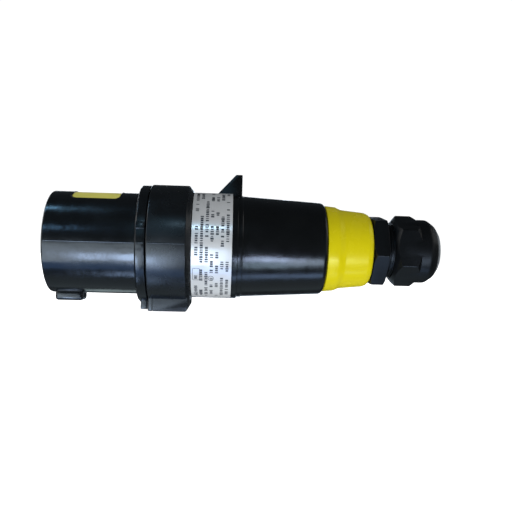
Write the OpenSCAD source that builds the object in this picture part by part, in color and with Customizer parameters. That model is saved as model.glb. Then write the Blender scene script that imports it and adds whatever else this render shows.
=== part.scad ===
// Industrial cable plug: 16 A, two poles and earth, with a key rib, a screwed union
// collar, a tapered rear housing, a colour-coded sleeve and a cable gland.
// The plug's axis is X: the pins point along -X and the cable leaves along +X.
// +Z is twelve o'clock, where the lid catch is. Clock angles run clockwise from
// twelve o'clock, looking at the pins from the front, so three o'clock is -Y.
// The origin is on the axis, in the front face of the shroud's flange.

/* [Shroud] */
// Outer radius of the shroud
shroud_r = 26.4; // [26.1:0.1:26.7]
// Wall thickness of the shroud
shroud_wall = 3; // [2.6:0.1:3.3]
// Length of the shroud in front of its flange
shroud_len = 45.6; // [44:0.1:48]
// Width of the key rib
key_w = 11; // [9:0.5:13]
// Distance of the key rib's face from the axis
key_r = 30.4; // [29:0.1:31]
// Length of the key rib
key_len = 14.3; // [12:0.1:20]
// Outer radius of the shroud's flange
flange_r = 30.6; // [30:0.1:31]
// Thickness of the shroud's flange
flange_len = 5; // [4.5:0.1:5.2]

/* [Voltage marker window] */
// Length of the window along the axis
window_len = 24.1; // [18:0.1:26]
// Width of the window, measured straight across
window_w = 28.8; // [20:0.1:30]
// Distance of the window's rear edge from the flange
window_gap = 10.1; // [9:0.1:12]

/* [Pins] */
// Radius of the circle that the pins stand on
pin_circle_r = 12.5; // [12:0.1:12.6]
// Radius of the two pole pins
pole_pin_r = 2.5; // [2.3:0.1:2.6]
// Radius of the earth pin
earth_pin_r = 3.5; // [3.2:0.1:3.6]
// Depth of the pole pins' tips behind the shroud's rim
pole_pin_inset = 6; // [5:0.5:9]
// Depth of the earth pin's tip behind the shroud's rim
earth_pin_inset = 3.5; // [3:0.5:5]

/* [Union collar] */
// Outer radius of the collar
collar_r = 31.15; // [31:0.05:31.6]
// Length of the collar
collar_len = 21.4; // [21.4:0.1:21.8]
// Width of the flat foot under the collar
foot_w = 27.6; // [20:0.2:28]
// Distance of the foot's face from the axis
foot_r = 34.3; // [33.4:0.1:34.8]
// Pitch of the union thread
union_pitch = 3; // [2.5:0.1:3.2]

/* [Rear housing] */
// Radius of the housing where the rating plate is stuck
seat_r = 27.6; // [27.4:0.05:27.7]
// Radius at the wide end of the taper
taper_wide_r = 26.7; // [26.4:0.1:27]
// Radius at the narrow end of the taper
taper_narrow_r = 24.2; // [23.8:0.1:25]
// Height of the lid catch above the axis
catch_r = 37.6; // [34:0.1:39]
// Thickness of the lid catch
catch_w = 7; // [6:0.5:10]

/* [Colour sleeve] */
// Radius at the sleeve's front
sleeve_front_r = 22.9; // [22.5:0.1:23]
// Radius at the sleeve's rear
sleeve_rear_r = 19.9; // [19.5:0.1:20.4]

/* [Cable gland] */
// Width across the flats of the gland body
body_flats = 34; // [32:0.5:35]
// Width across the flats of the cap nut
cap_flats = 33; // [32.5:0.1:33.5]
// Radius of the cap's dome
dome_r = 16.9; // [16.7:0.1:17.1]
// Radius of the hole in the sealing ring, for the thickest cable
cable_r = 8.5; // [7:0.1:8.6]
// Pitch of the cap nut's thread
cap_pitch = 1.5; // [1.5:0.25:2]

/* [Hidden] */

facets = 96;            // sides of a turned part
fine = 32;              // sides of a small hole or pin
fit_gap = 0.05;         // clearance between two pieces that stay together
run_gap = 0.3;          // clearance between two pieces that move past each other
slide_gap = 0.08;       // clearance where one piece runs on another
deep = 100;             // longer than any piece, for cutting right through

bore_r = shroud_r - shroud_wall;
lip_rear = -1.3;        // rear of that lip
seat_x = lip_rear + 1;            // front face of the pin carrier's rim, behind its gasket
lip_front = -7.3;        // front of the lip that carries the pin carrier
lip_r = 19.5;
chamber_r = 24.6;       // bore behind the lip, where the carrier and retainer sit
spigot_end = 15.65;
thread_r = 28.5;        // crest of the union thread on the shroud
thread_depth = 0.7;
marker_floor_r = 24.8;  // bottom of the marker's pocket
marker_thick = 1.3;
key_x = -shroud_len + 2.4;
index_clock = 74;       // small index block on the flange

carrier_rear = 3.2;
retainer_rear = 6.7;
carrier_r = 24.3;
rim_x = 0.7;            // front of the pins' rims
seal_seat_x = -0.9;     // front of the pin seals' seats
pin_rim_r = 6;
pin_step = 0.5;         // how much thicker a pin is inside the carrier
boss_len = 1.2;         // height of the bosses around the pins
boss_x = lip_front - boss_len;
post_r = 5;
post_end = 25.7;
wire_bore_r = 2.2;
wire_bore_x = 12.7;
terminal_x = 19.7;
terminal_screw_r = 1.9;
barrier_end = 24.7;
screw_circle_r = 22;
screw_r = 1.5;
screw_head_r = 2.4;
line_clock = 0;
neutral_clock = 120;
earth_clock = 240;
screw_clocks = [60, 180, 300];

collar_x = flange_len + 0.5;
collar_end = collar_x + collar_len;
lip_x = 20.7;            // front of the collar's rear lip
lock_x = 10.7;
lock_r = 2;

shoulder_r = 29.3;
shoulder_x = 16.9;
shoulder_end = 19.7;
seat_end = 50.2;
taper_end = 95.6;
housing_end = 119.7;
wall = 3;
sleeve_step_x = 100.7;   // where the colour sleeve starts to step down
sleeve_step_len = 4.8;
spigot_x = 103.2;       // where the narrow end that carries the colour sleeve steps down
spigot_wide_r = 19.6;
spigot_thin_r = 17.6;
catch_from = 38.5;      // front of the lid catch, where it leaves the housing
catch_top = 48.8;
catch_back = 52.2;
entry_r = 12.5;         // crest of the gland body's entry thread
entry_x = 106.7;

plate_x = 27.3;
plate_len = 20;
plate_thick = 0.2;
plate_from = 10;        // clock angles that the rating plate covers
plate_to = 166;

hex_x = housing_end + 0.6;
hex_len = 8;
hex_end = hex_x + hex_len;
neck_r = 14.4;
neck_end = 143.7;
neck_thread_depth = 0.6;
seal_x = 132.7;
seal_r = 12.2;
cap_x = 131.9;
cap_end = 156.6;
cap_thread_r = neck_r + slide_gap;
washer_x = 145.9;
washer_len = 1.2;
washer_r = 13.6;
mouth_r = 9.2;
body_clock = 39.5;      // a corner of each hexagon
cap_clock = -4.4;

black_gloss = [0.03, 0.035, 0.045];
black_satin = [0.05, 0.055, 0.06];
black_matt = [0.06, 0.06, 0.06];
signal_yellow = [0.85, 0.8, 0.05];
plate_silver = [0.8, 0.83, 0.88];
insulator_grey = [0.22, 0.23, 0.24];
nickel = [0.75, 0.73, 0.68];
zinc = [0.7, 0.71, 0.73];
rubber_black = [0.04, 0.04, 0.04];
nylon_white = [0.85, 0.85, 0.8];

// A solid of revolution about X. Each point is [distance along X, radius].
module lathe(points, sides = facets)
    rotate([0, 90, 0])
        rotate_extrude($fn = sides)
            polygon([for (p = points) [p[1], p[0]]]);

// A plain cylinder about X, or a plain prism when it has few sides.
module turned(x_from, x_to, r, sides = facets)
    translate([x_from, 0, 0])
        rotate([0, 90, 0])
            cylinder(h = x_to - x_from, r = r, $fn = sides);

module ring(x_from, x_to, r_in, r_out)
    lathe([[x_from, r_in], [x_to, r_in], [x_to, r_out], [x_from, r_out]]);

module ring_sector(x_from, x_to, r_in, r_out, clock_from, clock_to)
    rotate([0, 90, 0])
        rotate([0, 0, clock_from + 180])
            rotate_extrude(angle = clock_to - clock_from, $fn = facets)
                polygon([[r_in, x_from], [r_out, x_from], [r_out, x_to], [r_in, x_to]]);

// Turns what stands at twelve o'clock to another clock angle.
module at_clock(angle)
    rotate([angle, 0, 0])
        children();

// A block at twelve o'clock, with its outer long edges and its two ends chamfered.
module pad(x_from, x_to, w, r_in, r_out, chamfer, end_chamfer = 0.6)
    intersection() {
        translate([x_from, 0, 0])
            rotate([90, 0, 90])
                linear_extrude(height = x_to - x_from)
                    polygon([
                        [-w / 2, r_in], [w / 2, r_in], [w / 2, r_out - chamfer],
                        [w / 2 - chamfer, r_out], [-w / 2 + chamfer, r_out], [-w / 2, r_out - chamfer]
                    ]);
        translate([0, w / 2 + 1, 0])
            rotate([90, 0, 0])
                linear_extrude(height = w + 2)
                    polygon([
                        [x_from, r_in - 1], [x_to, r_in - 1], [x_to, r_out - end_chamfer],
                        [x_to - end_chamfer, r_out], [x_from + end_chamfer, r_out],
                        [x_from, r_out - end_chamfer]
                    ]);
    }

// A block with round corners that stands on the axis and reaches up past everything.
module window_block(grow)
    translate([-window_gap - window_len / 2, 0, 0])
        linear_extrude(height = deep) {
            len_out = window_len + 2 * grow;
            w_out = window_w + 2 * grow;
            r = 2.8 + grow;
            square([len_out - 2 * r, w_out], center = true);
            square([len_out, w_out - 2 * r], center = true);
            for (sx = [-1, 1], sy = [-1, 1])
                translate([sx * (len_out / 2 - r), sy * (w_out / 2 - r)])
                    circle(r = r, $fn = fine);
        }

// Points of a row of thread ridges, drawn as rings: crest and root radius, one ridge a pitch.
function ridges(x_from, count, pitch, crest, root) = [
    for (i = [0 : count - 1], p = [[0.1, root], [0.32, crest], [0.68, crest], [0.9, root]])
        [x_from + (i + p[0]) * pitch, p[1]]
];

// Points of a quarter round from one point to another, bulging outwards.
function round_off(centre_x, centre_r, radius, from_deg, to_deg, steps = 6) = [
    for (i = [0 : steps])
        let (a = from_deg + (to_deg - from_deg) * i / steps)
            [centre_x + radius * cos(a), centre_r + radius * sin(a)]
];

module hexagon(x_from, x_to, flats, corner_clock)
    at_clock(corner_clock)
        turned(x_from, x_to, flats / sqrt(3), 6);

module shroud()
    color(black_gloss)
        difference() {
            union() {
                lathe(concat(
                    [[-shroud_len, bore_r], [-shroud_len, shroud_r - 0.6], [-shroud_len + 0.6, shroud_r]],
                    [[0, shroud_r], [0, flange_r - 1], [0.6, flange_r], [flange_len, flange_r]],
                    [[flange_len, thread_r - thread_depth]],
                    ridges(flange_len + 0.9, 3, union_pitch, thread_r, thread_r - thread_depth),
                    [[spigot_end, thread_r - thread_depth], [spigot_end, chamber_r], [lip_rear, chamber_r]],
                    [[lip_rear, lip_r], [lip_front, lip_r], [lip_front, bore_r]]
                ));
                at_clock(180) {
                    pad(key_x, key_x + key_len, key_w, bore_r + 1, key_r, 0.8);
                    pad(1, flange_len, key_w + 3, thread_r, foot_r - 0.4, 0.8);
                }
                at_clock(index_clock)
                    pad(0.3, flange_len - 0.3, 3.7, thread_r, flange_r + 0.6, 0.3, 0.3);
                intersection() {
                    window_block(2.4);
                    ring(-deep, 0, shroud_r - 1, shroud_r + 0.25);
                }
            }
            intersection() {
                window_block(0);
                ring(-shroud_len, 0, marker_floor_r, shroud_r + 2);
            }
            for (c = screw_clocks)
                at_clock(c)
                    translate([0, 0, screw_circle_r])
                        turned(lip_front + 1, 1, screw_r + fit_gap, fine);
        }

module voltage_marker()
    color(signal_yellow)
        intersection() {
            window_block(-0.12);
            ring(-shroud_len, 0, marker_floor_r + 0.02, marker_floor_r + marker_thick);
        }

module carrier_gasket()
    color(rubber_black)
        difference() {
            ring(lip_rear + fit_gap, seat_x - fit_gap, lip_r + 0.2, carrier_r - 0.2);
            for (c = screw_clocks)
                at_clock(c)
                    translate([0, 0, screw_circle_r])
                        turned(lip_front, seat_x + 1, screw_r + 0.2, fine);
        }

// Everything that the three pins cut out of the carrier.
module pin_seat(clock, pin_r)
    at_clock(clock)
        translate([0, 0, pin_circle_r]) {
            turned(-deep, deep, pin_r + pin_step + fit_gap, fine * 2);
            turned(seal_seat_x, deep, pin_r + pin_step + 1.4, fine * 2);
            turned(rim_x, deep, pin_rim_r + fit_gap, fine * 2);
        }

module pin_carrier()
    color(insulator_grey)
        difference() {
            union() {
                turned(lip_front, seat_x, lip_r - 0.15);
                turned(seat_x, carrier_rear, carrier_r);
                for (c = [line_clock, neutral_clock, earth_clock])
                    at_clock(c)
                        translate([0, 0, pin_circle_r])
                            turned(boss_x, lip_front + 1, earth_pin_r + 2);
            }
            pin_seat(line_clock, pole_pin_r);
            pin_seat(neutral_clock, pole_pin_r);
            pin_seat(earth_clock, earth_pin_r);
            for (c = screw_clocks)
                at_clock(c)
                    translate([0, 0, screw_circle_r])
                        turned(lip_front, deep, screw_r + run_gap, fine);
        }

module pin_seal(clock, pin_r)
    at_clock(clock)
        translate([seal_seat_x + 0.8, 0, pin_circle_r])
            rotate([0, 90, 0])
                rotate_extrude($fn = fine * 2)
                    translate([pin_r + pin_step + 0.7, 0])
                        circle(r = 0.65, $fn = fine);

module pin_seals()
    color(rubber_black) {
        pin_seal(line_clock, pole_pin_r);
        pin_seal(neutral_clock, pole_pin_r);
        pin_seal(earth_clock, earth_pin_r);
    }

module pin_retainer()
    color(insulator_grey)
        difference() {
            union() {
                turned(carrier_rear + fit_gap, retainer_rear, carrier_r - 0.1);
                for (c = screw_clocks)
                    at_clock(c)
                        translate([retainer_rear - 0.5, -0.9, 0])
                            cube([barrier_end - retainer_rear + 0.5, 1.8, screw_circle_r - screw_head_r - 0.4]);
            }
            for (c = [line_clock, neutral_clock, earth_clock])
                at_clock(c)
                    translate([0, 0, pin_circle_r])
                        turned(0, deep, post_r + fit_gap, fine * 2);
            for (c = screw_clocks)
                at_clock(c)
                    translate([0, 0, screw_circle_r])
                        turned(0, deep, screw_r + run_gap, fine);
        }

// A contact pin: round-nosed rod, rim held by the carrier, and a bored terminal post.
module contact_pin(clock, pin_r, tip_x)
    at_clock(clock)
        difference() {
            translate([0, 0, pin_circle_r])
                lathe(concat(
                    [[tip_x, 0]],
                    round_off(tip_x + 1.2, pin_r - 1.2, 1.2, 180, 90),
                    [[boss_x, pin_r], [boss_x + pin_step, pin_r + pin_step]],
                    [[rim_x + fit_gap, pin_r + pin_step], [rim_x + fit_gap, pin_rim_r], [carrier_rear - fit_gap, pin_rim_r]],
                    [[carrier_rear - fit_gap, post_r], [post_end - 0.5, post_r], [post_end, post_r - 0.5]],
                    [[post_end, wire_bore_r], [wire_bore_x, wire_bore_r], [wire_bore_x - 1, 0]]
                ), fine * 2);
            translate([terminal_x, 0, pin_circle_r])
                cylinder(h = deep, r = terminal_screw_r + fit_gap, $fn = fine);
        }

module line_pin()
    color(nickel)
        contact_pin(line_clock, pole_pin_r, -shroud_len + pole_pin_inset);

module neutral_pin()
    color(nickel)
        contact_pin(neutral_clock, pole_pin_r, -shroud_len + pole_pin_inset);

module earth_pin()
    color(nickel)
        contact_pin(earth_clock, earth_pin_r, -shroud_len + earth_pin_inset);

module wire_clamps()
    color(zinc)
        for (c = [line_clock, neutral_clock, earth_clock])
            at_clock(c)
                translate([terminal_x - 3, -1.1, pin_circle_r + 1])
                    cube([6, 2.2, 0.7]);

module terminal_screws()
    color(zinc)
        for (c = [line_clock, neutral_clock, earth_clock])
            at_clock(c)
                translate([terminal_x, 0, pin_circle_r + 1.75])
                    difference() {
                        union() {
                            cylinder(h = 4.2, r = terminal_screw_r, $fn = fine);
                            translate([0, 0, 3.6])
                                cylinder(h = 1.8, r = 2.9, $fn = fine);
                        }
                        translate([-4, -0.4, 4.5])
                            cube([8, 0.8, 2]);
                    }

module carrier_screws()
    color(zinc)
        for (c = screw_clocks)
            at_clock(c)
                translate([0, 0, screw_circle_r])
                    difference() {
                        union() {
                            turned(lip_front + 1.5, retainer_rear + 1, screw_r, fine);
                            turned(retainer_rear, retainer_rear + 2, screw_head_r, fine);
                        }
                        translate([retainer_rear + 1, -0.35, -4])
                            cube([3, 0.7, 8]);
                    }

module union_seal()
    color(rubber_black)
        ring(spigot_end + fit_gap, shoulder_x - fit_gap, chamber_r + 0.6, thread_r - 0.4);

module slip_ring()
    color(nylon_white)
        ring(shoulder_end + fit_gap, lip_x - fit_gap, seat_r + 0.1, shoulder_r - 0.1);

// The collar's flat foot: its rear end slopes and its long edges are chamfered.
module foot_block()
    intersection() {
        pad(collar_x, collar_end, foot_w, thread_r - 3.5, foot_r, 1, 0.3);
        translate([0, foot_w / 2 + 1, 0])
            rotate([90, 0, 0])
                linear_extrude(height = foot_w + 2)
                    polygon([
                        [collar_x, 0], [collar_end - 0.5, 0], [collar_end - 0.5, foot_r - 2.8],
                        [collar_end - 2.1, foot_r], [collar_x + 0.6, foot_r], [collar_x, foot_r - 0.8]
                    ]);
    }

module coupling_collar()
    color(black_satin)
        difference() {
            union() {
                lathe(concat(
                    [[collar_x, thread_r + run_gap], [collar_x, collar_r - 0.5], [collar_x + 0.5, collar_r]],
                    [[collar_end - 2.3, collar_r], [collar_end, seat_r + 0.6]],
                    [[collar_end, seat_r + slide_gap], [lip_x, seat_r + slide_gap], [lip_x, shoulder_r + run_gap]],
                    [[spigot_end + 0.6, shoulder_r + run_gap], [spigot_end + 0.6, thread_r + run_gap]],
                    [for (p = ridges(collar_x + 0.9, 3, -union_pitch, thread_r + run_gap + 0.5, thread_r + run_gap))
                        [p[0] + 3 * union_pitch, p[1]]]
                ));
                at_clock(180)
                    foot_block();
            }
            lathe([
                [0, 0], [0, thread_r + run_gap], [spigot_end + 0.6, thread_r + run_gap],
                [spigot_end + 0.6, shoulder_r + run_gap], [lip_x, shoulder_r + run_gap],
                [lip_x, seat_r + slide_gap], [collar_end + 5, seat_r + slide_gap], [collar_end + 5, 0]
            ]);
            at_clock(180)
                translate([lock_x, 0, 0])
                    cylinder(h = deep, r = lock_r + fit_gap, $fn = fine);
        }

module lock_screw()
    color(zinc)
        at_clock(180)
            translate([lock_x, 0, thread_r + 0.25])
                difference() {
                    cylinder(h = 4.4, r = lock_r, $fn = fine);
                    translate([0, 0, 2.4])
                        cylinder(h = 3, r = 1.15, $fn = 6);
                }

module rear_housing()
    color(black_satin)
        difference() {
            union() {
                lathe(concat(
                    [[shoulder_x, chamber_r], [shoulder_x, shoulder_r - 0.4], [shoulder_x + 0.4, shoulder_r]],
                    [[shoulder_end, shoulder_r], [shoulder_end, seat_r], [seat_end - 0.5, seat_r]],
                    [[seat_end, seat_r - 0.5], [seat_end, taper_wide_r + 0.1], [seat_end + 2.4, taper_wide_r]],
                    [[seat_end + 2.4, taper_wide_r - 0.1], [seat_end + 5, taper_wide_r - 0.15]],
                    round_off(taper_end - 3, taper_narrow_r - 3, 3, 86, 0),
                    [[taper_end, spigot_wide_r], [spigot_x, spigot_wide_r], [spigot_x, spigot_thin_r],
                        [housing_end, spigot_thin_r]],
                    [[housing_end, entry_r + fit_gap], [entry_x - 1, entry_r + fit_gap]],
                    [[entry_x - 6, 14.5], [taper_end - 3, taper_narrow_r - wall]],
                    [[seat_end, taper_wide_r - wall], [shoulder_x + 3, chamber_r - 0.2]]
                ));
                translate([0, catch_w / 2, 0])
                    rotate([90, 0, 0])
                        linear_extrude(height = catch_w)
                            polygon([
                                [catch_from, seat_r - 1.2], [catch_top, catch_r], [catch_back, catch_r],
                                [catch_back, taper_wide_r - 1.5]
                            ]);
            }
        }

module rating_plate()
    color(plate_silver)
        ring_sector(plate_x, plate_x + plate_len, seat_r + 0.02, seat_r + plate_thick, plate_from, plate_to);

module colour_sleeve()
    color(signal_yellow)
        lathe(concat(
            [[taper_end + 0.1, spigot_wide_r + 0.1], [taper_end + 0.1, sleeve_front_r - 0.2]],
            [[taper_end + 0.4, sleeve_front_r], [sleeve_step_x, sleeve_front_r - 0.5]],
            [for (i = [1 : 7])
                let (t = i / 8, s = t * t * (3 - 2 * t))
                    [
                        sleeve_step_x + sleeve_step_len * t,
                        sleeve_front_r - 0.5 + (sleeve_rear_r + 1 - sleeve_front_r + 0.5) * s
                    ]],
            [[sleeve_step_x + sleeve_step_len, sleeve_rear_r + 1], [housing_end - 4.2, sleeve_rear_r]],
            [[housing_end - 2.4, sleeve_rear_r - 0.5], [housing_end - 1.1, sleeve_rear_r - 1.1]],
            [[housing_end, sleeve_rear_r - 1.9], [housing_end, spigot_thin_r + 0.1]],
            [[spigot_x + 0.1, spigot_thin_r + 0.1], [spigot_x + 0.1, spigot_wide_r + 0.1]]
        ));

module gland_gasket()
    color(rubber_black)
        ring(housing_end + fit_gap, hex_x - fit_gap, entry_r + 0.2, 16);

module gland_body()
    color(black_matt)
        difference() {
            union() {
                lathe(concat(
                    [[entry_x, 0]],
                    ridges(entry_x, 8, cap_pitch, entry_r, entry_r - 0.5),
                    [[hex_x - 1, entry_r - 0.6], [hex_x - 1, entry_r - 0.1], [hex_x + 1, entry_r - 0.1]],
                    [[hex_x + 1, neck_r - neck_thread_depth], [hex_end + 2.2, neck_r - neck_thread_depth]],
                    ridges(hex_end + 2.4, 8, cap_pitch, neck_r, neck_r - neck_thread_depth),
                    [[neck_end, neck_r - 0.8], [neck_end, 0]]
                ));
                intersection() {
                    hexagon(hex_x, hex_end, body_flats, body_clock);
                    lathe([
                        [hex_x, 0], [hex_x, body_flats / 2 + 0.6], [hex_x + 1.5, body_flats / 2 + 3.2],
                        [hex_end - 1.2, body_flats / 2 + 3.2], [hex_end, body_flats / 2 + 1.1], [hex_end, 0]
                    ]);
                }
            }
            turned(entry_x - 1, deep * 2, mouth_r, facets);
            turned(seal_x, deep * 2, seal_r + fit_gap, facets);
        }

module gland_seal()
    color(rubber_black)
        lathe([
            [seal_x + fit_gap, cable_r], [seal_x + fit_gap, seal_r], [neck_end - 1.2, seal_r],
            [neck_end, seal_r - 1], [neck_end, cable_r]
        ]);

module skid_washer()
    color(nylon_white)
        ring(washer_x, washer_x + washer_len, mouth_r - 0.1, washer_r);

module gland_cap()
    color(black_matt)
        difference() {
            union() {
                lathe(concat(
                    [[cap_x, 0], [cap_x, cap_thread_r + 0.3], [cap_x + 2, dome_r - 0.5]],
                    [[cap_x + 12, dome_r]],
                    round_off(cap_end - 7, dome_r - 7, 7, 84, 8, 9),
                    [[cap_end, dome_r - 6.4], [cap_end, 0]]
                ));
                intersection() {
                    hexagon(cap_x, cap_x + 13.4, cap_flats, cap_clock);
                    lathe([
                        [cap_x, 0], [cap_x, cap_thread_r + 0.3], [cap_x + 3.3, cap_flats / sqrt(3) + 0.05],
                        [cap_x + 10.9, cap_flats / sqrt(3) + 0.05], [cap_x + 13.4, dome_r - 0.1],
                        [cap_x + 13.4, 0]
                    ]);
                }
            }
            turned(cap_x - 1, washer_x - 1, cap_thread_r, facets);
            lathe([
                [washer_x - 1.1, 0], [washer_x - 1.1, cap_thread_r], [washer_x - 0.6, washer_r + 0.1],
                [washer_x + washer_len + fit_gap, washer_r + 0.1], [washer_x + washer_len + fit_gap, 0]
            ]);
            lathe([
                [washer_x, 0], [washer_x, mouth_r], [cap_end - 1.6, mouth_r],
                [cap_end, mouth_r + 0.9], [cap_end + 1, mouth_r + 1.5], [cap_end + 1, 0]
            ]);
        }

shroud();
voltage_marker();
carrier_gasket();
pin_carrier();
pin_seals();
pin_retainer();
line_pin();
neutral_pin();
earth_pin();
wire_clamps();
terminal_screws();
carrier_screws();
union_seal();
slip_ring();
coupling_collar();
lock_screw();
rear_housing();
rating_plate();
colour_sleeve();
gland_gasket();
gland_body();
gland_seal();
skid_washer();
gland_cap();
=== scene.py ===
"""An industrial cable plug: shrouded pins, union collar, tapered housing, colour sleeve, cable gland."""
import math

import bmesh
import bpy
from mathutils import Matrix, Vector


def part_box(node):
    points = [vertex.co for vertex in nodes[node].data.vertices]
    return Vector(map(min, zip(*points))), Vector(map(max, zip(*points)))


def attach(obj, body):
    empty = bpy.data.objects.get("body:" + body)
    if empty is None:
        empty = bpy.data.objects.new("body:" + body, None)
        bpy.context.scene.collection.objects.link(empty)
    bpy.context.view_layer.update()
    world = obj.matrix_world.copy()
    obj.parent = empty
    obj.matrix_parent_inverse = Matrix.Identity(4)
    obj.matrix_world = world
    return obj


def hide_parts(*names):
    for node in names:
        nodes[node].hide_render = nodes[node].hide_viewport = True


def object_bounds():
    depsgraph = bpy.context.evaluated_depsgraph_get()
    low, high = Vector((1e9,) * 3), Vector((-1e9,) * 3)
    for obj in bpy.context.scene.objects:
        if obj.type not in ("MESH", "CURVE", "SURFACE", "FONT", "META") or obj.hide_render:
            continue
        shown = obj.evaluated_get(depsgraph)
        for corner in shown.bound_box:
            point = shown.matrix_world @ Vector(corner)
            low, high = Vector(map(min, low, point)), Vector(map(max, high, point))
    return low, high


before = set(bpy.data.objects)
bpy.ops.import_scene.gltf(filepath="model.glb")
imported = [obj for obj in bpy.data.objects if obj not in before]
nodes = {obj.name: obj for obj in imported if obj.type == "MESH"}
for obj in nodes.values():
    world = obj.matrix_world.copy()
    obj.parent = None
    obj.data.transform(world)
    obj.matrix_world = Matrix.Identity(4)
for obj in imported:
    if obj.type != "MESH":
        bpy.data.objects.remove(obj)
cad_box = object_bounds()

MM = 0.001
TURNED_SIDES = 240      # faces round the big turned pieces
DOME_SIDES = 192        # round the gland's dome and the envelopes of its hexagons
SMALL_SIDES = 96        # round the gland's neck and bores
DRILL_SIDES = 48
ARC_STEPS = 5           # faces in a rounded corner of a turned outline
QUARTER_TURN = math.pi / 2
CORNERS = ((1, 1, 0), (-1, 1, 90), (-1, -1, 180), (1, -1, 270))     # a corner's sides and its arc's start

# Stations along the plug's axis and radii, in millimetres, as the design has them.
RIM_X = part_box("shroud")[0].x / MM
FLANGE_END = 5.0
LIP_REAR = -1.3
LIP_FRONT = -7.3
SPIGOT_END = 15.65
SHROUD_R = 26.4
SHROUD_BORE_R = 23.4
FLANGE_R = 30.6
THREAD_ROOT_R = 27.8
THREAD_CREST_R = 28.5
CHAMBER_R = 24.6
LIP_R = 19.5
KEY_W, KEY_R, KEY_X, KEY_LEN = 11.0, 30.4, RIM_X + 2.4, 14.3
PAD_HALF_W, PAD_SETBACK = KEY_W / 2 + 1.5, 0.07
INDEX_HALF_W, INDEX_CLOCK = 1.85, 74
WINDOW_LEN, WINDOW_W, WINDOW_GAP, WINDOW_CORNER = 24.1, 28.8, 10.1, 2.8
MARKER_FLOOR_R = 24.8

COLLAR_X, COLLAR_END = 5.5, 26.9
COLLAR_R = 31.15
COLLAR_BORE_R = 28.8
COLLAR_LIP_X = 20.7
COLLAR_LIP_R = 27.68
COLLAR_RELIEF_X = 16.25
COLLAR_RELIEF_R = 29.6
FOOT_W = 27.6
FOOT_R = -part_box("coupling_collar")[0].z / MM
FOOT_OVERLAP = 0.06     # the foot ends this far inside the collar's wall, so that no two faces coincide
FOOT_LINE_X, FOOT_LINE_W, FOOT_LINE_DEPTH = COLLAR_X + 2.0, 0.5, 0.45
LOCK_X, LOCK_HOLE_R = 10.7, 2.05

SHOULDER_X, SHOULDER_END, SHOULDER_R = 16.9, 19.7, 29.3
SEAT_R, SEAT_END = 27.6, 50.2
TAPER_WIDE_R, TAPER_NARROW_R, TAPER_END = 26.7, 24.2, 95.6
SPIGOT_X, SPIGOT_WIDE_R, SPIGOT_THIN_R = 103.2, 19.6, 17.6
HOUSING_END = 119.7
CATCH_FROM, CATCH_TOP, CATCH_BACK, CATCH_W = 38.5, 48.8, 52.2, 7.0
CATCH_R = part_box("rear_housing")[1].z / MM
WALL = 3.0

SEAM_CLOCKS = (90, 270)     # where the mould's halves meet
SEAM_R = 0.42

SLEEVE_FRONT_R, SLEEVE_REAR_R = 22.9, 19.9
SLEEVE_STEP_X, SLEEVE_STEP_LEN, SLEEVE_STEP_POINTS = 100.7, 4.8, 13

PLATE_X, PLATE_LEN, PLATE_THICK, PLATE_CORNER = 27.3, 20.0, 0.2, 1.6
PLATE_FROM, PLATE_TO = 10.0, 166.0      # clock angles in degrees
PLATE_R = SEAT_R + PLATE_THICK
PLATE_ROWS, PLATE_COLUMNS = 120, 12     # faces round and along the foil
RING_R, RING_POINTS = 1.35, 40

ENTRY_X, ENTRY_R = 106.7, 12.5
HEX_X, HEX_END, BODY_FLATS, BODY_CLOCK = 120.3, 128.3, 34.0, 39.5
NECK_R, NECK_ROOT_R, NECK_END = 14.4, 13.8, 143.7
SEAL_X, SEAL_SEAT_R, THROAT_R = 132.7, 12.25, 9.2
CAP_X, CAP_END, CAP_FLATS, CAP_CLOCK = 131.9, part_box("gland_cap")[1].x / MM, 33.0, -4.4
CAP_HEX_LEN, DOME_R, CAP_THREAD_R = 13.4, 16.9, 14.48
WASHER_X, WASHER_LEN, WASHER_R = 145.9, 1.2, 13.6
UNION_PITCH, CAP_PITCH = 3.0, 1.5


# ---------------------------------------------------------------- node wiring

def wired(tree, made, sources):
    """Links a node's inputs from other sockets, or sets them to plain values."""
    for key, source in sources.items():
        if isinstance(source, bpy.types.NodeSocket):
            tree.links.new(source, made.inputs[key])
        else:
            made.inputs[key].default_value = source
    return made


def node(tree, kind, sources=None, **settings):
    """A new node with its settings made and its inputs wired."""
    made = tree.nodes.new(kind)
    for setting, value in settings.items():
        setattr(made, setting, value)
    return wired(tree, made, sources or {})


# ---------------------------------------------------------------- camera, lights and stage

CAMERA_LENS, CAMERA_SENSOR = 44.97, 36
CAMERA_AT = (43.94, -340.3, -4.86)      # millimetres
CAMERA_YAW, CAMERA_ROLL = 2.78, 1.57    # degrees

NEAR, FAR = 0.9, 1.2                    # metres from the plug's middle to a lamp
PLUG_MIDDLE = Vector((0.055, 0, 0))

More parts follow.
